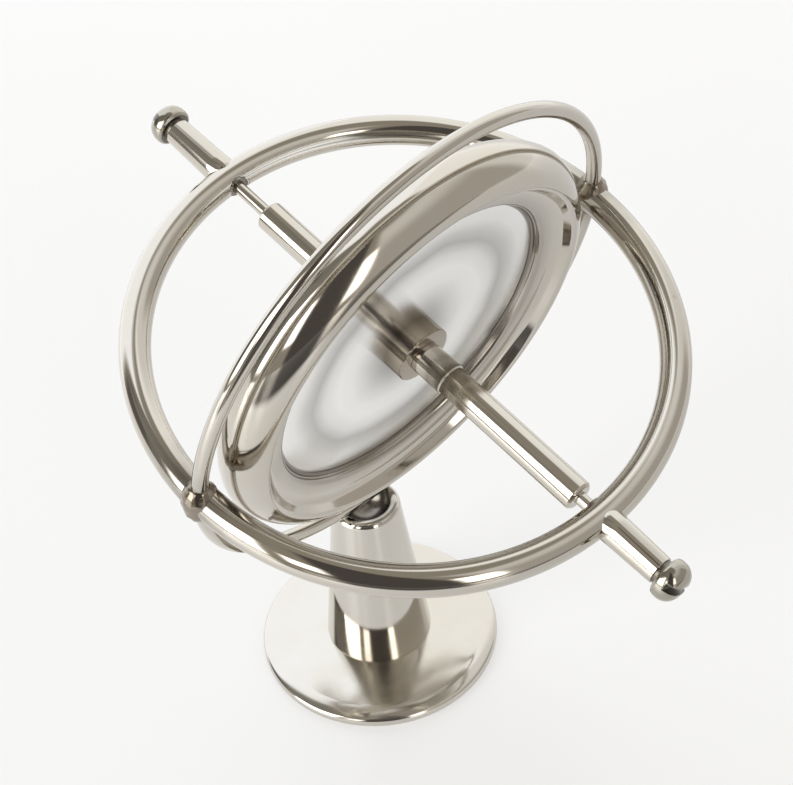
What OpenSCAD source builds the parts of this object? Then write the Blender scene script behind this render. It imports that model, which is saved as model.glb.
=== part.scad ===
// Metal gyroscope on a turned stand.
// Frame: origin at the centre of the base plate's underside, +Z up.
// +X is the level direction towards the lower end of the gyroscope's axle.
// Lengths are millimetres and angles are degrees.

/* [Stand] */
// Diameter of the round base plate
plate_d = 31.1; // [28:0.1:40]
// Thickness of the base plate under the column
plate_t = 2.4; // [2:0.1:4]
// Drop of the plate's domed top between the column and its rim
plate_drop = 0.62; // [0:0.02:0.8]
// Radius of the plate's rounded upper edge
plate_edge_r = 0.6; // [0.4:0.05:0.6]
// Height of the column above the base plate
column_h = 22.9; // [16:0.1:40]
// Diameter of the column where it stands on the plate
column_foot_d = 13.7; // [12:0.1:18]
// Diameter the cone would have at the column's top
column_top_d = 8.7; // [8.6:0.1:12]
// Diameter of the cup's mouth in the column's top
cup_d = 6.6; // [5:0.1:7]
// Depth of the cup
cup_depth = 1.9; // [1.2:0.1:3]
// Radius of the rounded lip round the cup
lip_r = 0.9; // [0.5:0.05:1.1]

/* [Lean of the gyroscope] */
// Angle the axle dips below level
axle_dip = 15.1; // [0:0.1:17]
// Roll of the frame about the axle
frame_roll = 5.5; // [0:0.1:8]
// Angle round the hoop from its lowest point to the point over the cup
hoop_rest_angle = 9.7; // [0:0.1:14]
// Gap between the hoop and the level of the cup's lip
rest_gap = 0.4; // [0.4:0.05:1.5]

/* [Frame rings] */
// Radius of the thick ring's centre line
ring_r = 30; // [29.8:0.1:32]
// Radius of the thin hoop's centre line
hoop_r = 30.3; // [30:0.1:30.6]
// Wire diameter of the thick ring that carries the axle
ring_wire_d = 3.6; // [3.4:0.1:4]
// Wire diameter of the thin hoop round the rotor
hoop_wire_d = 1.8; // [1.4:0.1:2.2]
// Diameter of the brazing where hoop and ring meet
braze_d = 4.3; // [4:0.1:4.6]
// Height of the brazing along the hoop
braze_h = 6; // [5.6:0.1:6.4]

/* [Axle ends] */
// Angle the axle is out of square with the hoop
axle_skew = 1.1; // [0:0.1:2]
// Distance the axle passes to the left of the rings' centre
axle_offset = 0.25; // [0:0.05:0.5]
// Diameter of the stubs where they meet the ring
stub_d = 3.7; // [3.4:0.1:3.8]
// Diameter of the stubs at their outer ends
stub_tip_d = 3.3; // [3:0.1:3.4]
// Distance from the gyroscope's centre to the outer end of the near stub
near_stub_end = 38.5; // [36:0.1:42]
// Distance from the gyroscope's centre to the outer end of the far stub
far_stub_end = 39.5; // [36:0.1:42]
// Diameter of the pivot screws' heads
head_d = 4.8; // [4:0.1:5.6]
// Height of the pivot screws' heads
head_h = 3.1; // [2.4:0.1:4]
// Diameter of the pivot screws' shanks
screw_d = 2.2; // [2:0.1:2.4]
// Width of the driver slot
slot_w = 0.9; // [0.5:0.05:1.2]
// Depth of the driver slot
slot_depth = 1.3; // [0.8:0.1:1.6]

/* [Rotor] */
// Outside diameter of the rotor
rotor_d = 52.4; // [50:0.1:54]
// Thickness of the rotor's rim at its crest
rim_t = 7.4; // [6:0.1:8]
// Diameter of the rim's crest
crest_d = 46.4; // [44:0.1:47]
// Slope of the rim's inner wall, in degrees
wall_slope = 59; // [52:1:64]
// Length of the wall's straight part
wall_l = 0.8; // [0.5:0.1:1]
// Radius of the hollow between wall and ledge
cove_r = 1.4; // [1:0.1:1.6]
// Slope of the ledge inside the wall, in degrees
ledge_slope = 8; // [5:1:10]
// Diameter of the ledge's inner edge
ledge_d = 40; // [39.8:0.1:40.4]
// Diameter of the web
web_d = 37.6; // [36:0.1:39]
// Thickness of the web
web_t = 1; // [0.8:0.1:1.2]
// Diameter of the hub
hub_d = 7.2; // [6:0.1:8]
// Length of the hub along the axle
hub_l = 6; // [5:0.1:8]

/* [Axle] */
// Diameter of the thin spindle rod
spindle_d = 1.5; // [1.3:0.1:1.7]
// Running clearance between spindle and bearing on the radius
bearing_gap = 0.05; // [0.02:0.01:0.09]
// Diameter of the sleeves on the spindle
sleeve_d = 3.5; // [3:0.1:3.8]
// Distance from the centre to the outer end of the near sleeve
near_sleeve_end = 26.9; // [22:0.1:27]
// Distance from the centre to the outer end of the far sleeve
far_sleeve_end = 23.1; // [20:0.1:27]
// Diameter of the collars between hub and sleeves
collar_d = 4; // [3.6:0.1:5]
// Length of each collar
collar_l = 4.2; // [3:0.1:6]

/* [Hidden] */
round_steps = 8;
dome_power = 1.4;
column_top_z = plate_t + column_h;
hoop_z = column_top_z + rest_gap + hoop_wire_d / 2;
spindle_end = ring_r - ring_wire_d / 2 + 1.6;
bearing_end = spindle_end + 0.9;
bearing_d = 2.6;
joint_gap = 0.01;
neck_l = 0.45;
rim_r = (rotor_d - crest_d) / 2;
crest_r = 0.7;
crest_shift = 0.15;
shoulder_r = 0.8;
flange_t = 1.1;
corner = 0.2;
hoop_gap_angle = asin(ring_wire_d / 2 / hoop_r);
stud_d = 4;
stud_z0 = 0.8;
stud_z1 = plate_t + 7;

// Points of an arc from angle a0 to a1 about a centre.
function arc_pts(c, r, a0, a1) = [
    for (i = [0 : round_steps])
        let (a = a0 + (a1 - a0) * i / round_steps)
        [c[0] + r * cos(a), c[1] + r * sin(a)]
];

// Puts a part of the gyroscope, drawn about its own centre with the axle on X, in its place.
module gyro_place() {
    translate([0, 0, hoop_z])
        rotate([frame_roll, axle_dip, 0])
            translate([0, hoop_r * sin(hoop_rest_angle), hoop_r * cos(hoop_rest_angle)])
                children();
}

// Sets a part on the axle's own line, which is a little out of square and off centre.
module axle_line() {
    translate([0, -axle_offset, 0])
        rotate([0, 0, -axle_skew])
            children();
}

// Cylinder along X from x0 to x1.
module x_rod(d, x0, x1) {
    translate([x0, 0, 0])
        rotate([0, 90, 0])
            cylinder(d = d, h = x1 - x0, $fn = 64);
}

// Profile of radius against distance along X, spun about X.
module x_spin(points) {
    rotate([0, 90, 0])
        rotate_extrude($fn = 128)
            polygon(points);
}

// Turned base plate, slightly domed outside the column, with a blind tapped hole in its top.
module base_plate() {
    foot = column_foot_d / 2;
    edge_x = plate_d / 2 - plate_edge_r;
    lean = atan(dome_power * plate_drop / (edge_x - foot));
    rim = edge_x + plate_edge_r * sin(lean);
    edge_z = plate_t - plate_drop - plate_edge_r * cos(lean);
    dome = [for (i = [round_steps - 1 : -1 : 0])
        let (t = i / round_steps)
        [foot + (rim - foot) * t, plate_t - plate_drop * pow(t, dome_power)]];
    color("silver")
        difference() {
            rotate_extrude($fn = 128)
                polygon(concat(
                    [[0, 0], [plate_d / 2 - 0.4, 0], [plate_d / 2, 0.4]],
                    arc_pts([edge_x, edge_z], plate_edge_r, 0, 90 - lean),
                    dome,
                    [[0, plate_t]]));
            translate([0, 0, stud_z0 - 0.1])
                cylinder(d = stud_d, h = plate_t, $fn = 48);
        }
}

// Turned conical column with a round lip, a cup in its top and a tapped hole in its foot.
module column() {
    lip_c = [column_top_d / 2 - lip_r, column_top_z - lip_r];
    cup_r = (cup_d * cup_d / 4 + cup_depth * cup_depth) / (2 * cup_depth);
    color("silver")
        difference() {
            rotate_extrude($fn = 128)
                polygon(concat(
                    [[0, plate_t], [column_foot_d / 2, plate_t]],
                    arc_pts(lip_c, lip_r, 8, 90),
                    [[0, column_top_z]]));
            translate([0, 0, column_top_z - cup_depth + cup_r])
                sphere(r = cup_r, $fn = 96);
            translate([0, 0, plate_t - 1])
                cylinder(d = stud_d, h = stud_z1 - plate_t + 1.3, $fn = 48);
        }
}

// Stud with bevelled ends that joins the column to the base plate.
module column_stud() {
    r = stud_d / 2;
    color("gray")
        rotate_extrude($fn = 64)
            polygon([[0, stud_z0], [r - 0.4, stud_z0], [r, stud_z0 + 0.4], [r, stud_z1 - 0.4],
                [r - 0.4, stud_z1], [0, stud_z1]]);
}

// Body of the thick ring, larger than its wire by a clearance.
module ring_torus(clearance) {
    rotate_extrude($fn = 192)
        translate([ring_r, 0])
            circle(d = ring_wire_d + 2 * clearance, $fn = 48);
}

// Thick ring that lies along the axle, drilled through for the two bearings.
module outer_ring() {
    color("silver")
        gyro_place()
            difference() {
                ring_torus(0);
                axle_line()
                    x_rod(bearing_d, -ring_r - 4, ring_r + 4);
            }
}

// Half of the thin hoop, from one side of the thick ring to the other.
module half_hoop(turn) {
    color("silver")
        gyro_place()
            rotate([turn, 0, 0])
                rotate([90, 0, 90])
                    rotate([0, 0, hoop_gap_angle])
                        rotate_extrude(angle = 180 - 2 * hoop_gap_angle, $fn = 192)
                            translate([hoop_r, 0])
                                circle(d = hoop_wire_d, $fn = 32);
}

module upper_hoop() {
    half_hoop(0);
}

module lower_hoop() {
    half_hoop(180);
}

// Collar of brazing round the ring where the two halves of the hoop meet it.
module brazing(side) {
    r = braze_d / 2;
    half = braze_h / 2;
    slope = [[r, 0.45 * half], [0.84 * r, 0.68 * half], [0.64 * r, 0.86 * half], [0.56 * r, half]];
    color("darkgray")
        gyro_place()
            difference() {
                translate([0, side * hoop_r, 0])
                    rotate_extrude($fn = 64)
                        polygon(concat(
                            [[0, -half]],
                            [for (i = [3 : -1 : 0]) [slope[i][0], -slope[i][1]]],
                            slope,
                            [[0, half]]));
                ring_torus(joint_gap);
                rotate([90, 0, 90])
                    rotate_extrude($fn = 192)
                        translate([hoop_r, 0])
                            circle(d = hoop_wire_d + 2 * joint_gap, $fn = 32);
            }
}

module left_brazing() {
    brazing(-1);
}

module right_brazing() {
    brazing(1);
}

// Tapered tube whose inner end is shaped to the ring, carrying the pivot screw.
module stub(side, end) {
    color("silver")
        gyro_place()
            difference() {
                axle_line()
                    scale([side, 1, 1])
                        translate([ring_r + 0.2, 0, 0])
                            rotate([0, 90, 0])
                                cylinder(d1 = stub_d, d2 = stub_tip_d, h = end - ring_r - 0.2, $fn = 64);
                ring_torus(joint_gap);
                axle_line()
                    scale([side, 1, 1])
                        x_rod(screw_d, ring_r - 1, end + 1);
            }
}

module near_stub() {
    stub(1, near_stub_end);
}

module far_stub() {
    stub(-1, far_stub_end);
}

// Slotted round-head screw that closes the stub and sets the bearing's play.
module pivot_screw(side, end, slot_turn) {
    r = head_d / 2;
    top = end + head_h;
    under = end + neck_l;
    color("silver")
        gyro_place()
            axle_line()
                scale([side, 1, 1])
                    difference() {
                        union() {
                            x_rod(screw_d, bearing_end, end + 0.2);
                            x_spin(concat(
                                [[0, end], [r * 0.62, end], [r * 0.62, under]],
                                [[r * 0.84, under], [r * 0.96, under + 0.2], [r, under + 0.55]],
                                arc_pts([r * 0.28, top - r * 0.72], r * 0.72, 0, 90),
                                [[0, top]]));
                        }
                        rotate([slot_turn, 0, 0])
                            translate([top - slot_depth, -head_d, -slot_w / 2])
                                cube([slot_depth + 2, 2 * head_d, slot_w]);
                    }
}

module near_pivot_screw() {
    pivot_screw(1, near_stub_end, -38);
}

module far_pivot_screw() {
    pivot_screw(-1, far_stub_end, -50);
}

// Bush in the ring's bore, blind at its outer end, that the spindle turns in.
module bearing(side) {
    inner = ring_r - ring_wire_d / 2 + 0.2;
    color("goldenrod")
        gyro_place()
            axle_line()
                scale([side, 1, 1])
                    difference() {
                        x_rod(bearing_d, inner, bearing_end);
                        x_rod(spindle_d + 2 * bearing_gap, inner - 1, spindle_end + 0.3);
                    }
}

module near_bearing() {
    bearing(1);
}

module far_bearing() {
    bearing(-1);
}

// Heavy rim: round outside, sharp crest on each side, then a wall, a ledge and a flange inside.
module rotor_rim() {
    cr = crest_d / 2;
    half = rim_t / 2;
    flange = flange_t / 2;
    outside = [for (p = arc_pts([cr, 0], rim_r, 0, 78)) [p[0], p[1] * half / rim_r]];
    crest = arc_pts([cr + crest_shift, half - crest_r], crest_r, 90, 90 + wall_slope);
    wall_top = crest[round_steps];
    wall_foot = wall_top - wall_l * [cos(wall_slope), sin(wall_slope)];
    cove_at = wall_foot + cove_r * [-sin(wall_slope), cos(wall_slope)];
    cove = arc_pts(cove_at, cove_r, wall_slope - 90, ledge_slope - 90);
    cove_end = cove[round_steps];
    ledge_end = [ledge_d / 2, cove_end[1] - (cove_end[0] - ledge_d / 2) * tan(ledge_slope)];
    shoulder_at = ledge_end + shoulder_r * [sin(ledge_slope), -cos(ledge_slope)];
    shoulder = arc_pts(shoulder_at, shoulder_r, 90 + ledge_slope, 180);
    pocket = shoulder[round_steps][0];
    step = [[pocket, flange + corner], [pocket - corner, flange], [web_d / 2, flange]];
    front = concat(outside, crest, cove, shoulder, step);
    color("silver")
        gyro_place()
            axle_line()
                rotate([0, 90, 0])
                    rotate_extrude($fn = 192)
                        polygon(concat(
                            front,
                            [for (i = [len(front) - 1 : -1 : 1]) [front[i][0], -front[i][1]]]));
}

// Thin turned disc between rim and hub.
module rotor_web() {
    color("lightgray")
        gyro_place()
            axle_line()
                difference() {
                    x_rod(web_d - 2 * joint_gap, -web_t / 2, web_t / 2);
                    x_rod(hub_d + 2 * joint_gap, -web_t, web_t);
                }
}

// Plain round boss with softened edges, bored for the spindle.
module hub() {
    r = hub_d / 2;
    half = hub_l / 2;
    color("silver")
        gyro_place()
            axle_line()
                x_spin([[spindle_d / 2, -half], [r - 0.3, -half], [r, -half + 0.3],
                    [r, half - 0.3], [r - 0.3, half], [spindle_d / 2, half]]);
}

// Tube on the spindle between two distances from the centre, with bevelled ends.
module spindle_tube(d, x0, x1, bevel) {
    r = d / 2;
    color("silver")
        gyro_place()
            axle_line()
                x_spin([[spindle_d / 2, x0], [r - bevel, x0], [r, x0 + bevel], [r, x1 - bevel],
                    [r - bevel, x1], [spindle_d / 2, x1]]);
}

module near_collar() {
    spindle_tube(collar_d, hub_l / 2, hub_l / 2 + collar_l, 0.2);
}

module far_collar() {
    spindle_tube(collar_d, -hub_l / 2 - collar_l, -hub_l / 2, 0.2);
}

module near_sleeve() {
    spindle_tube(sleeve_d, hub_l / 2 + collar_l, near_sleeve_end, 0.35);
}

module far_sleeve() {
    spindle_tube(sleeve_d, -far_sleeve_end, -hub_l / 2 - collar_l, 0.35);
}

// Thin rod through the whole rotor with a bevelled tip at each end.
module spindle() {
    r = spindle_d / 2;
    color("silver")
        gyro_place()
            axle_line()
                x_spin([[0, -spindle_end], [r - 0.4, -spindle_end], [r, 0.6 - spindle_end],
                    [r, spindle_end - 0.6], [r - 0.4, spindle_end], [0, spindle_end]]);
}

base_plate();
column();
column_stud();
outer_ring();
upper_hoop();
lower_hoop();
left_brazing();
right_brazing();
near_stub();
far_stub();
near_pivot_screw();
far_pivot_screw();
near_bearing();
far_bearing();
rotor_rim();
rotor_web();
hub();
near_collar();
far_collar();
near_sleeve();
far_sleeve();
spindle();
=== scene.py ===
# A metal gyroscope leaning on a turned stand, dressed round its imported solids.
# Lengths are millimetres unless a name says otherwise, and mm turns them into metres.
import math
import bpy
import bmesh
from mathutils import Matrix, Vector, noise


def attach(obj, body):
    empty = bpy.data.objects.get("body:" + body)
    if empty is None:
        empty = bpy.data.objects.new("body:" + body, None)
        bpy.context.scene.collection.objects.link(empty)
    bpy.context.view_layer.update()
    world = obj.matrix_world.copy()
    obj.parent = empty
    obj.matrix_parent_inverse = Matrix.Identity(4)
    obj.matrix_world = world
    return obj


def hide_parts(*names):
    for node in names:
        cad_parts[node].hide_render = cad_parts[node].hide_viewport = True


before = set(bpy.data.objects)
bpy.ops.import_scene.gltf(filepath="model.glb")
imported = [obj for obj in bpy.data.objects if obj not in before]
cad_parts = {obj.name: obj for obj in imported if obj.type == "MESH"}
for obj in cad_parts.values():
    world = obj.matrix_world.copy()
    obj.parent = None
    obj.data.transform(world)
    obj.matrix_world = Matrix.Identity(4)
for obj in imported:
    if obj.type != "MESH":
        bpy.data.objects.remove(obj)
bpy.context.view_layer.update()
mm = 0.001

# --- Camera -----------------------------------------------------------------
# The camera looks down on the gyroscope from its right front, tilted a little to one side.
camera_place = (121.4, -99.5, 189.6)
camera_heading = 48.79
camera_dip = 42.97
camera_roll = -5.36
lens = 82.88

camera = bpy.data.objects.new("camera", bpy.data.cameras.new("camera"))
camera.data.lens = lens
camera.data.sensor_width = 36
camera.data.clip_start = 0.01
camera.data.clip_end = 20
camera.location = Vector(camera_place) * mm
camera.rotation_euler = (
    Matrix.Rotation(math.radians(camera_heading), 3, "Z")
    @ Matrix.Rotation(math.radians(90 - camera_dip), 3, "X")
    @ Matrix.Rotation(math.radians(camera_roll), 3, "Z")
).to_euler()
bpy.context.scene.collection.objects.link(camera)
bpy.context.scene.camera = camera
bpy.context.scene.view_settings.view_transform = "Standard"


# --- Studio -----------------------------------------------------------------
# The object stands on a white table in a pale room. One wall is bright, the side by the camera
# is dark, and upright windows beside it give the narrow lights seen in the polished metal.
def node(tree, kind, links=None, **settings):
    made = tree.nodes.new("ShaderNode" + kind)
    for key, value in settings.items():
        setattr(made, key, value)
    for key, value in (links or {}).items():
        socket = made.inputs[key]
        if isinstance(value, bpy.types.NodeSocket):
            tree.links.new(value, socket)
        else:
            socket.default_value = value
    return made


def maths(tree, operation, a, b=0.0, c=0.0):
    return node(tree, "Math", {0: a, 1: b, 2: c}, operation=operation).outputs[0]


def soft_step(tree, value, edge, softness):
    step = node(tree, "MapRange", {0: value, 1: edge - softness, 2: edge + softness},
                interpolation_type="SMOOTHSTEP")
    return step.outputs[0]


def mix_colour(tree, amount, a, b):
    mix = node(tree, "Mix", {0: amount, 6: a, 7: b}, data_type="RGBA")
    return mix.outputs[2]


world = bpy.data.worlds.new("studio")
bpy.context.scene.world = world
world.use_nodes = True
room = world.node_tree
room.nodes.clear()

look = node(room, "TexCoord").outputs["Generated"]
facing = node(room, "VectorRotate", {"Vector": look, "Angle": math.radians(90 - camera_heading)},
              rotation_type="Z_AXIS").outputs[0]
across = node(room, "SeparateXYZ", {0: facing})
side = maths(room, "MULTIPLY", maths(room, "ARCTAN2", across.outputs[1], across.outputs[0]), 180 / math.pi)
height = maths(room, "MULTIPLY", maths(room, "ARCSINE", across.outputs[2]), 180 / math.pi)


def wall(under, left, right, low, high, colour, edge=2.0, ends=2.0, lean=0.0):
    """Lays one patch of light or shade over the room, between two sides and two heights in degrees."""
    leaning = maths(room, "MULTIPLY_ADD", height, -lean, side)
    inside_left = soft_step(room, leaning, left, edge)
    inside_right = soft_step(room, leaning, right, edge)
    wide = maths(room, "SUBTRACT", inside_left, inside_right)
    above_low = soft_step(room, height, low, ends)
    above_high = soft_step(room, height, high, ends)
    tall = maths(room, "SUBTRACT", above_low, above_high)
    return mix_colour(room, maths(room, "MULTIPLY", wide, tall), under, (*colour, 1))


ceiling = (0.36, 0.33, 0.28)
backdrop = (0.97, 0.97, 0.97)
light = (*ceiling, 1)
light = wall(light, 30, 200, -30, 66, (0.80, 0.78, 0.74), 5, 5)
light = wall(light, 104, 200, -30, 66, (0.92, 0.91, 0.89), 10, 5)
light = wall(light, 134, 200, -30, 66, (1.26, 1.26, 1.24), 8, 5)
light = wall(light, 30, 114, -10, 42, (0.52, 0.49, 0.45), 6, 12)
light = wall(light, -200, -116, -30, 69, (1.38, 1.42, 1.48), 4, 5)
light = wall(light, -112, -74, -8, 88, (0.26, 0.25, 0.22), 3, 4)
light = wall(light, -110, -92, 4, 44, (0.14, 0.13, 0.12), 3, 5)
light = wall(light, -79, -43, 4, 51, (4.0, 4.0, 3.9), 2, 3)
light = wall(light, -160, -121, 30, 62, (0.29, 0.27, 0.24), 2, 3, lean=1.4)
light = wall(light, -34, -19, 13, 38, (3.0, 2.9, 2.8), 2, 2)
light = wall(light, -22, 18, -12, 84, (0.095, 0.085, 0.08), 3, 4)
light = wall(light, 18, 29, 8, 42, (3.8, 3.7, 3.5), 2.5, 4, lean=0.05)

seen = node(room, "LightPath").outputs["Is Camera Ray"]
light = mix_colour(room, seen, light, (*backdrop, 1))
sky = node(room, "Background", {"Color": light, "Strength": 1.0})
node(room, "OutputWorld", {"Surface": sky.outputs[0]})

# The table top is one large white sheet. It keeps a faint shadow and is a little glossy. Its glow seen in the
# metal is painted light, brighter on its window side, and the floor beyond its near edge is dark.
table_half = 2000
table_camera_glow = 0.53
table_metal_glow = (0.35, 0.68)
window_way = (-0.52, -0.85)
window_reach = (-60, 80)
near_way = (0.75, -0.66)
near_edge = (145, 205)
dimmed = 0.93
table_white = (0.42, 0.42, 0.42, 1)
floor_dark = (0.05, 0.045, 0.04, 1)
table_drop = 0.02

form = bmesh.new()
bmesh.ops.create_grid(form, x_segments=1, y_segments=1, size=table_half * mm)
bmesh.ops.translate(form, verts=form.verts, vec=(0, 0, -table_drop * mm))
table_mesh = bpy.data.meshes.new("table_top")
form.to_mesh(table_mesh)
form.free()
table_top = bpy.data.objects.new("table_top", table_mesh)
bpy.context.scene.collection.objects.link(table_top)

paint = bpy.data.materials.new("white_table")
paint.use_nodes = True
tree = paint.node_tree
tree.nodes.clear()
ray = node(tree, "LightPath")
spread = node(tree, "TexCoord").outputs["Object"]
to_window = node(tree, "VectorMath", {0: spread, 1: (*window_way, 0)},
                 operation="DOT_PRODUCT").outputs["Value"]
to_near = node(tree, "VectorMath", {0: spread, 1: (*near_way, 0)},
               operation="DOT_PRODUCT").outputs["Value"]
# Painted light: the glow that reflections see rises towards the window side.
painted_window_glow = node(tree, "MapRange", {0: to_window, 1: window_reach[0] * mm, 2: window_reach[1] * mm,
                                3: table_metal_glow[0], 4: table_metal_glow[1]}).outputs[0]
beyond = node(tree, "MapRange", {0: to_near, 1: near_edge[0] * mm, 2: near_edge[1] * mm},
              interpolation_type="SMOOTHSTEP").outputs[0]
sheet = maths(tree, "MULTIPLY", painted_window_glow, maths(tree, "MULTIPLY_ADD", beyond, -dimmed, 1.0))
glow = node(tree, "Mix", {0: ray.outputs["Is Camera Ray"], 2: sheet, 3: table_camera_glow}).outputs[0]
top_colour = mix_colour(tree, beyond, table_white, floor_dark)
matt = node(tree, "BsdfDiffuse", {"Color": top_colour})
shine = node(tree, "BsdfGlossy", {"Color": (0.9, 0.9, 0.9, 1), "Roughness": 0.25})
facing_table = node(tree, "Fresnel", {"IOR": 1.45}).outputs[0]
body = node(tree, "MixShader", {0: facing_table, 1: matt.outputs[0], 2: shine.outputs[0]})
lit = node(tree, "Emission", {"Color": (1, 1, 1, 1), "Strength": glow})
both = node(tree, "AddShader", {0: body.outputs[0], 1: lit.outputs[0]})
node(tree, "OutputMaterial", {"Surface": both.outputs[0]})
table_mesh.materials.append(paint)

# --- Stand ------------------------------------------------------------------
# The stand is turned from steel bar and nickel plated: a round plate with a rounded rim and a
# conical column whose lip is rolled over a small cup. A stud inside holds the two together.
plate_d = 31.1
plate_t = 2.4
plate_drop = 0.62
dome_power = 1.4
rim_fall = 0.3
rim_band = 1.8
plate_edge_r = 0.6
column_h = 22.9
column_foot_d = 13.7
column_top_d = 8.7
lip_r = 0.8
cup_d = 6.2
cup_depth = 2.6
lip_rise = 0.25
foot_bevel = 0.4
column_taper = 7
nickel = (0.61, 0.58, 0.53)
pale_nickel = (0.65, 0.625, 0.58)


def arc(centre, radius, start, end, steps=12):
    turn = [math.radians(start + (end - start) * i / steps) for i in range(steps + 1)]
    return [(centre[0] + radius * math.cos(t), centre[1] + radius * math.sin(t)) for t in turn]


def finish_mesh(form, name, place, smooth_angle=30):
    """Turns a bmesh drawn in millimetres into an object whose place is in its mesh."""
    bmesh.ops.remove_doubles(form, verts=form.verts, dist=1e-4)
    bmesh.ops.recalc_face_normals(form, faces=form.faces)
    bmesh.ops.transform(form, matrix=place, verts=form.verts)
    bmesh.ops.scale(form, vec=(mm, mm, mm), verts=form.verts)
    mesh = bpy.data.meshes.new(name)
    form.to_mesh(mesh)
    form.free()
    for face in mesh.polygons:
        face.use_smooth = True
    mesh.set_sharp_from_angle(angle=math.radians(smooth_angle))
    piece = bpy.data.objects.new(name, mesh)
    bpy.context.scene.collection.objects.link(piece)
    return piece


def turned(name, profile, place=Matrix(), axis="Z", steps=192, bevel=0.0, closed=False):
    """Spins a profile of (along the axis, radius) points, as a lathe does, and breaks its sharp edges."""
    form = bmesh.new()
    if axis == "Z":
        points = [form.verts.new((r, 0, s)) for s, r in profile]
        direction = (0, 0, 1)
    else:
        points = [form.verts.new((s, 0, r)) for s, r in profile]
        direction = (1, 0, 0)
    pairs = list(zip(points, points[1:] + points[:1])) if closed else list(zip(points, points[1:]))
    edges = [form.edges.new(pair) for pair in pairs]
    bmesh.ops.spin(form, geom=points + edges, cent=(0, 0, 0), axis=direction, dvec=(0, 0, 0),
                   angle=2 * math.pi, steps=steps, use_merge=True, use_duplicate=False)
    bmesh.ops.remove_doubles(form, verts=form.verts, dist=1e-4)
    bmesh.ops.recalc_face_normals(form, faces=form.faces)
    if bevel:
        sharp = [e for e in form.edges if len(e.link_faces) == 2 and e.calc_face_angle() > math.radians(32)]
        bmesh.ops.bevel(form, geom=sharp, offset=bevel, affect="EDGES", segments=3, profile=0.5,
                        material=-1, clamp_overlap=True)
    return finish_mesh(form, name, place)


def plated(name, colour, roughness=0.05, lines=None, line_axis=2, waviness=0.25, wave_scale=260,
           wave_depth=0.02, specks=0.0, stain_and_shade=False):
    """Polished plating: faint waves from the wheel, hazy patches, hairlines and a few specks."""
    tarnish = (0.12, 0.11, 0.10, 1)
    stain_and_shade_colour = (0.12, 0.105, 0.09, 1)
    metal = bpy.data.materials.new(name)
    metal.use_nodes = True
    tree = metal.node_tree
    tree.nodes.clear()
    spot = node(tree, "TexCoord").outputs["Object"]
    haze = node(tree, "TexNoise", {"Vector": spot, "Scale": 160, "Detail": 4, "Roughness": 0.6})
    waves = node(tree, "TexNoise", {"Vector": spot, "Scale": wave_scale, "Detail": 1})
    stretch = node(tree, "Mapping", {"Vector": spot, "Rotation": (0.5, 0.3, 0.8), "Scale": (900, 9000, 900)})
    hairs = node(tree, "TexNoise", {"Vector": stretch.outputs[0], "Scale": 1, "Detail": 2})
    dots = node(tree, "TexVoronoi", {"Vector": spot, "Scale": 140, "Randomness": 1}, feature="F1")
    dot = node(tree, "MapRange", {0: dots.outputs["Distance"], 1: 0.03, 2: 0.05, 3: specks, 4: 0.0})
    rough = node(tree, "MapRange", {0: haze.outputs[0], 1: 0.35, 2: 0.75,
                                    3: roughness * 0.7, 4: roughness * 1.9})
    rough = maths(tree, "MULTIPLY_ADD", dot.outputs[0], 0.35, rough.outputs[0])
    rough = maths(tree, "MULTIPLY_ADD", hairs.outputs[0], roughness * 0.5, rough)
    tone = node(tree, "MapRange", {0: haze.outputs[0], 1: 0.3, 2: 0.7, 3: 0.0, 4: 1.0})
    warm = (colour[0] * 0.98, colour[1] * 0.96, colour[2] * 0.92, 1)
    base = mix_colour(tree, tone.outputs[0], (*colour, 1), warm)
    base = mix_colour(tree, maths(tree, "MULTIPLY", dot.outputs[0], 0.6), base, tarnish)
    # The optional mark attribute darkens and roughens the plating: painted shade in hollows and corners, and
    # brown heat stain near the brazing.
    if stain_and_shade:
        stain_and_shade_level = node(tree, "Attribute", attribute_name="stain_and_shade").outputs["Fac"]
        base = mix_colour(tree, maths(tree, "MULTIPLY", stain_and_shade_level, 0.80), base, stain_and_shade_colour)
        rough = maths(tree, "MULTIPLY_ADD", stain_and_shade_level, 0.15, rough)
    bump = node(tree, "Bump", {"Strength": waviness, "Distance": wave_depth * mm, "Height": waves.outputs[0]})
    if lines:
        along = node(tree, "SeparateXYZ", {0: spot}).outputs[line_axis]
        grooves = maths(tree, "SINE", maths(tree, "MULTIPLY", along, 2 * math.pi / (lines * mm)))
        bump = node(tree, "Bump", {"Strength": 0.12, "Distance": 0.002 * mm, "Height": grooves,
                                   "Normal": bump.outputs[0]})
    surface = node(tree, "BsdfPrincipled", {"Base Color": base, "Metallic": 1.0, "Roughness": rough,
                                            "Normal": bump.outputs[0]})
    node(tree, "OutputMaterial", {"Surface": surface.outputs[0]})
    return metal


def fit(piece, body, slot, material, *nodes):
    """Fixes a finished piece on its body, in place of the solids that it stands for."""
    even = piece.modifiers.new("even_shading", "WEIGHTED_NORMAL")
    even.keep_sharp = True
    piece.data.materials.append(material)
    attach(piece, body)
    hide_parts(*nodes)


stand_nickel = plated("stand_nickel", pale_nickel, roughness=0.09, lines=0.25)
column_nickel = plated("column_nickel", pale_nickel, roughness=0.05, lines=0.25, stain_and_shade=True)

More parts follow.
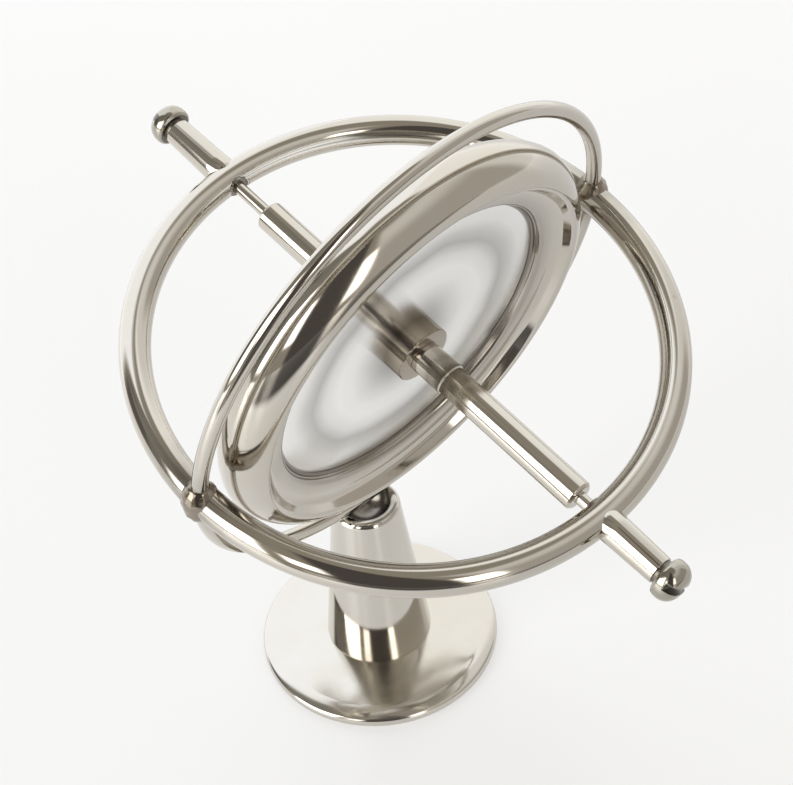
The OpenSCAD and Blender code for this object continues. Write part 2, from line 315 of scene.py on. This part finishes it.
# Outside the column the plate's top falls away a little, as a shallow dome, and a soft polished
# rounding leads over to the rim.
foot_r = column_foot_d / 2
edge_at = plate_d / 2 - plate_edge_r
lean = math.atan(dome_power * plate_drop / (edge_at - foot_r) + 2 * rim_fall / rim_band)
rim_r = edge_at + plate_edge_r * math.sin(lean)
edge_z = plate_t - plate_drop - rim_fall - plate_edge_r * math.cos(lean)
dome = []
for part_out in [i / 40 for i in range(39, -1, -1)]:
    r = foot_r + (rim_r - foot_r) * part_out
    near_rim = max(0.0, (r - rim_r) / rim_band + 1)
    dome.append((plate_t - plate_drop * part_out ** dome_power - rim_fall * near_rim ** 2, r))
plate = turned("turned_base_plate",
               [(0, 0), (0, plate_d / 2 - foot_bevel), (foot_bevel, plate_d / 2)]
               + [(z, r) for r, z in arc((edge_at, edge_z), plate_edge_r, 0, 90 - math.degrees(lean))]
               + dome + [(plate_t, 0)], steps=256, bevel=0.08)
fit(plate, "stand", "stand_plating", stand_nickel, "base_plate")

top_z = plate_t + column_h + lip_rise
lip_at = (column_top_d / 2 - lip_r, top_z - lip_r)
bowl_r = (cup_d ** 2 / 4 + cup_depth ** 2) / (2 * cup_depth)
bowl_half = math.degrees(math.asin(cup_d / 2 / bowl_r))
column = turned("turned_column",
                [(plate_t, 0), (plate_t, column_foot_d / 2)]
                + [(z, r) for r, z in arc(lip_at, lip_r, column_taper, 90)]
                + [(z, r) for r, z in arc((0, top_z - cup_depth + bowl_r), bowl_r, -90 + bowl_half, -90)],
                steps=256, bevel=0.12)

# Painted shade fills the cup and thins out, in patches, over its lip.
cup_shade_reach = 1.1
cup_shade_floor = top_z - cup_depth - 0.1
cup_shade = column.data.attributes.new("stain_and_shade", "FLOAT", "POINT")
for vert, mark in zip(column.data.vertices, cup_shade.data):
    out = math.hypot(vert.co.x, vert.co.y) / mm
    patchiness = 0.85 + 0.5 * noise.noise(vert.co / mm * 0.6)
    on_lip = patchiness * max(0.0, 1 - (out - cup_d / 2) / cup_shade_reach)
    depth = 1.0 if out < cup_d / 2 else min(1.0, on_lip)
    mark.value = depth if vert.co.z / mm > cup_shade_floor else 0.0
fit(column, "stand", "stand_plating", column_nickel, "column")

stud_steel = plated("stud_steel", (0.55, 0.54, 0.52), roughness=0.22, lines=0.5)
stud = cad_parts["column_stud"]
stud.data.materials.clear()
stud.data.materials.append(stud_steel)

# --- Rings ------------------------------------------------------------------
# The thick ring lies along the axle and the thin hoop stands across it. Both are bent from
# round steel wire, brazed where they cross, polished and nickel plated.
ring_r = 30.0
ring_wire_d = 3.6
hoop_r = 30.3
hoop_wire_d = 1.8
axle_dip = 15.1
frame_roll = 5.5
hoop_rest_angle = 9.7
hoop_z = 26.6
axle_skew = 1.1
axle_offset = 0.25
bearing_d = 2.6

gyro = (
    Matrix.Translation((0, 0, hoop_z))
    @ Matrix.Rotation(math.radians(axle_dip), 4, "Y")
    @ Matrix.Rotation(math.radians(frame_roll), 4, "X")
    @ Matrix.Translation((0, hoop_r * math.sin(math.radians(hoop_rest_angle)),
                          hoop_r * math.cos(math.radians(hoop_rest_angle))))
)
axle = gyro @ Matrix.Translation((0, -axle_offset, 0)) @ Matrix.Rotation(math.radians(-axle_skew), 4, "Z")


def bent_wire(name, radius, wire_d, axis, start, sweep, place, steps, sides=48):
    """Bends round wire along an arc about the gyroscope's centre."""
    form = bmesh.new()
    bmesh.ops.create_circle(form, cap_ends=False, segments=sides, radius=wire_d / 2)
    if axis == "Z":
        bmesh.ops.rotate(form, verts=form.verts, cent=(0, 0, 0), matrix=Matrix.Rotation(math.pi / 2, 3, "X"))
        bmesh.ops.translate(form, verts=form.verts, vec=(radius, 0, 0))
        direction = (0, 0, 1)
    else:
        bmesh.ops.translate(form, verts=form.verts, vec=(0, radius, 0))
        direction = (1, 0, 0)
    turn = Matrix.Rotation(math.radians(start), 3, axis)
    bmesh.ops.rotate(form, verts=form.verts, cent=(0, 0, 0), matrix=turn)
    bmesh.ops.spin(form, geom=form.verts[:] + form.edges[:], cent=(0, 0, 0), axis=direction,
                   dvec=(0, 0, 0), angle=math.radians(sweep), steps=steps, use_merge=sweep == 360,
                   use_duplicate=False)
    ends = [e for e in form.edges if len(e.link_faces) == 1]
    bmesh.ops.holes_fill(form, edges=ends, sides=0)
    return finish_mesh(form, name, place)


def cut(piece, cutter):
    """Cuts the cutter's shape out of a piece and throws the cutter away."""
    tool = piece.modifiers.new("cut", "BOOLEAN")
    tool.operation = "DIFFERENCE"
    tool.solver = "EXACT"
    tool.object = cutter
    dressed = piece.evaluated_get(bpy.context.evaluated_depsgraph_get())
    mesh = bpy.data.meshes.new_from_object(dressed)
    piece.modifiers.clear()
    piece.data = mesh
    bpy.data.objects.remove(cutter)


def heat_tint_and_shade(piece, reach, depth):
    """Darkens the wire near the two brazed joints: partly brown heat tint where the flame has browned the
    plating, partly a painted dark reflection of the parts nearby.
    """
    marks = piece.data.attributes.new("stain_and_shade", "FLOAT", "POINT")
    back = gyro.inverted()
    for vert, mark in zip(piece.data.vertices, marks.data):
        at = back @ (vert.co / mm)
        away = min((at - Vector((0, side_way * hoop_r, 0))).length for side_way in (-1, 1))
        patchy = 0.75 + 0.6 * noise.noise(at * 0.55)
        mark.value = max(0.0, min(1.0, depth * patchy * math.exp(-(away / reach) ** 2)))


ring_nickel = plated("ring_nickel", nickel, roughness=0.05, specks=0.2, stain_and_shade=True)
hoop_nickel = plated("hoop_nickel", nickel, roughness=0.06, stain_and_shade=True)

ring = bent_wire("bent_outer_ring", ring_r, ring_wire_d, "Z", 0, 360, gyro, 360, 64)
cut(ring, turned("ring_drill", [(-40, 0), (-40, bearing_d / 2), (40, bearing_d / 2), (40, 0)],
                 axle, "X", 48))
heat_tint_and_shade(ring, 6.0, 0.75)
fit(ring, "gyro_frame", "ring_plating", ring_nickel, "outer_ring")

gap = math.degrees(math.asin(ring_wire_d / 2 / hoop_r)) - 1.0
hoop_halves = (("bent_upper_hoop", gap, "upper_hoop"), ("bent_lower_hoop", 180 + gap, "lower_hoop"))
for name, start, solid in hoop_halves:
    half = bent_wire(name, hoop_r, hoop_wire_d, "X", start, 180 - 2 * gap, gyro, 200, 40)
    heat_tint_and_shade(half, 3.5, 0.9)
    fit(half, "gyro_frame", "hoop_plating", hoop_nickel, solid)

# --- Brazing ----------------------------------------------------------------
# A collar of brazing runs round each crossing of hoop and ring. It was filed by hand and
# plated over, so it is lumpy, duller and darker than the wire.
braze_d = 4.1
braze_h = 5.4
braze_lump = 0.16

braze_nickel = plated("braze_nickel", (0.29, 0.255, 0.21), roughness=0.17, waviness=1.0,
                      wave_depth=0.05, specks=0.6)
upper_outline = [(0.2, 1.0), (0.45, 0.96), (0.68, 0.80), (0.86, 0.62), (0.98, 0.50), (1.0, 0.30)]
outline = [(-z, r) for z, r in reversed(upper_outline)] + [(0.0, 1.0)] + upper_outline
joints = (("left_brazed_joint", -hoop_r, "left_brazing"), ("right_brazed_joint", hoop_r, "right_brazing"))
for name, at, solid in joints:
    form = bmesh.new()
    points = [form.verts.new((r * braze_d / 2, 0, z * braze_h / 2)) for z, r in outline]
    edges = [form.edges.new(pair) for pair in zip(points, points[1:])]
    bmesh.ops.spin(form, geom=points + edges, cent=(0, 0, 0), axis=(0, 0, 1), dvec=(0, 0, 0),
                   angle=2 * math.pi, steps=28, use_merge=True, use_duplicate=False)
    bmesh.ops.holes_fill(form, edges=[e for e in form.edges if len(e.link_faces) == 1], sides=0)
    bmesh.ops.recalc_face_normals(form, faces=form.faces)
    bmesh.ops.subdivide_edges(form, edges=form.edges, cuts=1, use_grid_fill=True, smooth=0.6)
    for vert in form.verts:
        lump = noise.noise(vert.co * 0.9 + Vector((at, 3.1, 0))) + 0.5 * noise.noise(vert.co * 2.1)
        side_way = Vector((vert.co.x, vert.co.y, 0))
        if side_way.length > 0.2:
            vert.co += side_way.normalized() * (lump * braze_lump - 0.05)
    bmesh.ops.translate(form, verts=form.verts, vec=(0, at, 0))
    joint = finish_mesh(form, name, gyro, 60)
    fit(joint, "gyro_frame", "brazing", braze_nickel, solid)

# --- Stubs, pivot screws and bearings ---------------------------------------
# A tapered tube stands on the ring at each end of the axle. A slotted round-head screw closes
# it, and a dark steel bush inside the ring carries the spindle.
stub_d = 3.7
stub_tip_d = 3.3
stub_ends = {"near": 38.5, "far": 39.5}
head_d = 4.8
head_h = 3.1
neck_l = 0.45
slot_w = 0.9
slot_depth = 1.3
screw_d = 2.2
slot_turns = {"near": -38, "far": -50}
neck_share = 0.62
head_round = 0.72
head_flat = 0.28

screw_nickel = plated("screw_nickel", (0.44, 0.42, 0.37), roughness=0.09, waviness=0.6,
                      wave_depth=0.04, stain_and_shade=True)
bush_steel = plated("bush_steel", (0.26, 0.24, 0.21), roughness=0.22)

for end, way in (("near", 1), ("far", -1)):
    outward = axle @ Matrix.Diagonal((way, 1, 1, 1))
    stub_end = stub_ends[end]
    foot = ring_r + 0.3
    stub = turned(end + "_turned_stub",
                  [(foot, screw_d / 2), (foot, stub_d / 2 - 0.2), (foot + 0.8, stub_d / 2),
                   (ring_r + 2.6, stub_d / 2 - 0.05),
                   (stub_end, stub_tip_d / 2), (stub_end, screw_d / 2)],
                  outward, "X", 96, bevel=0.1, closed=True)
    fit(stub, "gyro_frame", "ring_plating", ring_nickel, end + "_stub")

    r = head_d / 2
    top = stub_end + head_h
    under = stub_end + neck_l
    head = turned(end + "_round_head_screw",
                  [(stub_end - 0.3, 0), (stub_end - 0.3, r * neck_share), (under, r * neck_share),
                   (under, r * 0.84), (under + 0.2, r * 0.96), (under + 0.55, r)]
                  + [(top - r * head_round + r * head_round * math.sin(t),
                      r * head_flat + r * head_round * math.cos(t))
                     for t in [math.radians(a) for a in range(0, 91, 6)]]
                  + [(top, 0)], outward, "X", 96, bevel=0.05)
    slot_box = bmesh.new()
    bmesh.ops.create_cube(slot_box, size=1)
    bmesh.ops.scale(slot_box, vec=(4, 2 * head_d, slot_w), verts=slot_box.verts)
    bmesh.ops.translate(slot_box, verts=slot_box.verts, vec=(top - slot_depth + 2, 0, 0))
    bmesh.ops.rotate(slot_box, verts=slot_box.verts, cent=(0, 0, 0),
                     matrix=Matrix.Rotation(math.radians(slot_turns[end]), 3, "X"))
    cut(head, finish_mesh(slot_box, "slot_cutter", outward))

    # Painted shade darkens the slot and the neck under the head.
    stain_and_shade_level = head.data.attributes.new("stain_and_shade", "FLOAT", "FACE")
    back = outward.inverted()
    for face, mark in zip(head.data.polygons, stain_and_shade_level.data):
        at = back @ (face.center / mm)
        across_slot = Matrix.Rotation(math.radians(-slot_turns[end]), 3, "X") @ at
        in_slot = abs(across_slot.z) < slot_w / 2 + 0.01 and at.x > top - slot_depth - 0.02
        mark.value = 1.0 if in_slot or at.x < under + 0.05 else 0.0
    fit(head, "gyro_frame", "screw_plating", screw_nickel, end + "_pivot_screw")

    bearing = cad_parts[end + "_bearing"]
    bearing.data.materials.clear()
    bearing.data.materials.append(bush_steel)

# --- Rotor rim --------------------------------------------------------------
# The heavy rim is cast, turned and plated. Its outside is round, and inside a sharp crest its
# wall slopes down to a thin flange that holds the web.
rotor_d = 52.4
rim_t = 7.4
crest_d = 46.4
outer_fullness = 1.7
crest_round = 0.7
crest_shift = 0.15
wall_slope = 59
wall_l = 0.8
cove_round = 1.4
ledge_slope = 8
ledge_d = 40.0
shoulder_round = 0.8
flange_half = 0.55
web_d = 37.6

half = rim_t / 2
rim_w = (rotor_d - crest_d) / 2
turns = [math.radians(a) for a in range(0, 90, 3)]
outside = [(half * math.sin(t) ** (2 / outer_fullness),
            crest_d / 2 + rim_w * math.cos(t) ** (2 / outer_fullness)) for t in turns]
crest = arc((crest_d / 2 + crest_shift, half - crest_round), crest_round, 90, 90 + wall_slope, 10)
up = Vector((math.cos(math.radians(wall_slope)), math.sin(math.radians(wall_slope))))
wall_foot = Vector(crest[-1]) - wall_l * up
cove = arc(wall_foot + cove_round * Vector((-up.y, up.x)), cove_round, wall_slope - 90, ledge_slope - 90, 14)
tilt = math.radians(ledge_slope)
ledge_end = Vector((ledge_d / 2, cove[-1][1] - (cove[-1][0] - ledge_d / 2) * math.tan(tilt)))
shoulder = arc(ledge_end + shoulder_round * Vector((math.sin(tilt), -math.cos(tilt))), shoulder_round,
               90 + ledge_slope, 180, 12)
pocket_r = shoulder[-1][0]
near_side = outside + [(s, r) for r, s in crest + cove + shoulder]
near_side += [(s, pocket_r) for s in (0.98, 0.86, flange_half + 0.2)]
near_side += [(flange_half, pocket_r - 0.2), (flange_half, web_d / 2)]
far_side = [(-s, r) for s, r in reversed(near_side[1:])]
rim_nickel = plated("rim_nickel", nickel, roughness=0.06, waviness=1.0, wave_scale=120,
                    wave_depth=0.07, stain_and_shade=True)
rim = turned("turned_rotor_rim", near_side + far_side, axle, "X", 320, bevel=0.08, closed=True)

# Painted shade darkens the corner by the web and the step above it.
corner_reach = 0.25
step_shade = 0.45
stain_and_shade = rim.data.attributes.new("stain_and_shade", "FLOAT", "POINT")
to_axle = axle.inverted()
for vert, mark in zip(rim.data.vertices, stain_and_shade.data):
    at = to_axle @ (vert.co / mm)
    radius = math.hypot(at.y, at.z)
    beside_pocket = math.exp(-((radius - pocket_r + 0.1) / corner_reach) ** 2)
    corner = beside_pocket * math.exp(-(abs(at.x) - flange_half) / corner_reach)
    step = step_shade * min(1, max(0, (ledge_d / 2 + 0.35 - radius) / 0.5))
    mark.value = min(1, corner + step) if radius < ledge_d / 2 + 0.4 else 0.0
fit(rim, "rotor", "rotor_plating", rim_nickel, "rotor_rim")

# --- Rotor web --------------------------------------------------------------
# The web is a thin disc faced on a lathe and polished. Its fine circular grooves smear each
# reflection outwards from the hub.
web_t = 1.0
hub_d = 7.2
grooves_out = 150

form = bmesh.new()
rings = [hub_d / 2 + (web_d - hub_d) / 2 * i / 24 for i in range(25)]
profile = [(web_t / 2, r) for r in rings] + [(-web_t / 2, r) for r in reversed(rings)]
points = [form.verts.new((s, 0, r)) for s, r in profile]
edges = [form.edges.new(pair) for pair in zip(points, points[1:] + points[:1])]
bmesh.ops.spin(form, geom=points + edges, cent=(0, 0, 0), axis=(1, 0, 0), dvec=(0, 0, 0),
               angle=2 * math.pi, steps=192, use_merge=True, use_duplicate=False)
wrap = form.loops.layers.uv.new("turning")
for face in form.faces:
    middle = face.calc_center_median()
    home = math.atan2(middle.y, middle.z)
    for loop in face.loops:
        turn = math.atan2(loop.vert.co.y, loop.vert.co.z) - home
        turn = (turn + math.pi) % (2 * math.pi) - math.pi + home
        out = math.hypot(loop.vert.co.y, loop.vert.co.z)
        loop[wrap].uv = (turn / (2 * math.pi), out / web_d * 2)
web = finish_mesh(form, "turned_rotor_web", axle)

turned_nickel = bpy.data.materials.new("turned_nickel")
turned_nickel.use_nodes = True
tree = turned_nickel.node_tree
tree.nodes.clear()
place = node(tree, "UVMap", uv_map="turning").outputs[0]
out = node(tree, "SeparateXYZ", {0: place}).outputs[1]
rings_at = node(tree, "CombineXYZ", {0: maths(tree, "MULTIPLY", out, grooves_out), 1: 0.0, 2: 0.0}).outputs[0]
grooves = node(tree, "TexNoise", {"Vector": rings_at, "Scale": 1, "Detail": 3})
bands = node(tree, "MapRange", {0: grooves.outputs[0], 1: 0.3, 2: 0.7, 3: 0.13, 4: 0.18})
shade = node(tree, "MapRange", {0: grooves.outputs[0], 1: 0.3, 2: 0.7, 3: 0.0, 4: 1.0})
# Light and dark rings are painted into the web's colour by radius, made uneven by noise: painted reflection.
swirl = node(tree, "TexNoise", {"Vector": node(tree, "TexCoord").outputs["Object"], "Scale": 90, "Detail": 2})
uneven = maths(tree, "MULTIPLY_ADD", swirl.outputs[0], 0.12, -0.06)
painted_rings = node(tree, "ValToRGB", {0: maths(tree, "ADD", out, uneven)})
stops = ((0.19, 0.42), (0.27, 0.58), (0.36, 0.78), (0.46, 0.95), (0.56, 0.99), (0.66, 0.86), (0.75, 0.56),
         (0.82, 0.70), (0.90, 0.92), (0.97, 0.98))
while len(painted_rings.color_ramp.elements) < len(stops):
    painted_rings.color_ramp.elements.new(0.5)
for mark, (place_out, value) in zip(painted_rings.color_ramp.elements, stops):
    mark.position = place_out
    mark.color = (value, value * (0.95 + 0.05 * value), value * (0.88 + 0.11 * value), 1)
base = node(tree, "Mix", {0: maths(tree, "MULTIPLY", shade.outputs[0], 0.06), 6: painted_rings.outputs[0],
                          7: (0.30, 0.28, 0.26, 1)}, data_type="RGBA").outputs[2]
along = node(tree, "Tangent", direction_type="UV_MAP", uv_map="turning")
bump = node(tree, "Bump", {"Strength": 0.05, "Distance": 0.004 * mm, "Height": grooves.outputs[0]})
surface = node(tree, "BsdfPrincipled", {"Base Color": base, "Metallic": 1.0, "Roughness": bands.outputs[0],
                                        "Anisotropic": 1.0, "Anisotropic Rotation": 0.25,
                                        "Tangent": along.outputs[0],
                                        "Normal": bump.outputs[0]})
node(tree, "OutputMaterial", {"Surface": surface.outputs[0]})
fit(web, "rotor", "turned_web", turned_nickel, "rotor_web")

# --- Hub, sleeves and spindle -----------------------------------------------
# The hub is a plain boss pressed on the spindle. A sleeve on each side of it stiffens the
# thin rod, whose ends run in the bearings.
hub_l = 6.0
spindle_d = 1.5
sleeve_d = 3.6
collar_d = 3.9
collar_l = 4.2
near_sleeve_end = 26.9
far_sleeve_end = 23.1
spindle_end = ring_r - ring_wire_d / 2 + 1.6

axle_nickel = plated("axle_nickel", nickel, roughness=0.06)
# The hub's nickel is painted darker than the rest of the plating: painted shade.
shaded_hub_nickel = plated("shaded_hub_nickel", (0.38, 0.335, 0.28), roughness=0.13, waviness=0.5)
bore = spindle_d / 2
hub = turned("turned_hub",
             [(-hub_l / 2, bore), (-hub_l / 2, hub_d / 2), (hub_l / 2, hub_d / 2), (hub_l / 2, bore)],
             axle, "X", 128, bevel=0.22, closed=True)
fit(hub, "rotor", "axle_steel", shaded_hub_nickel, "hub")

for name, way, outer, solids in (("near_turned_sleeve", 1, near_sleeve_end, ("near_sleeve", "near_collar")),
                                 ("far_turned_sleeve", -1, far_sleeve_end, ("far_sleeve", "far_collar"))):
    step = hub_l / 2 + collar_l
    sleeve = turned(name, [(hub_l / 2, bore), (hub_l / 2, collar_d / 2), (step, collar_d / 2),
                           (step + 0.05, sleeve_d / 2), (outer - 0.3, sleeve_d / 2),
                           (outer, sleeve_d / 2 - 0.3), (outer, bore)],
                    axle @ Matrix.Diagonal((way, 1, 1, 1)), "X", 96, bevel=0.06, closed=True)
    fit(sleeve, "rotor", "axle_steel", axle_nickel, *solids)

spindle = turned("turned_spindle",
                 [(-spindle_end, 0), (-spindle_end, bore - 0.4), (0.6 - spindle_end, bore),
                  (spindle_end - 0.6, bore), (spindle_end, bore - 0.4), (spindle_end, 0)],
                 axle, "X", 64, bevel=0.05)
fit(spindle, "rotor", "axle_steel", axle_nickel, "spindle")
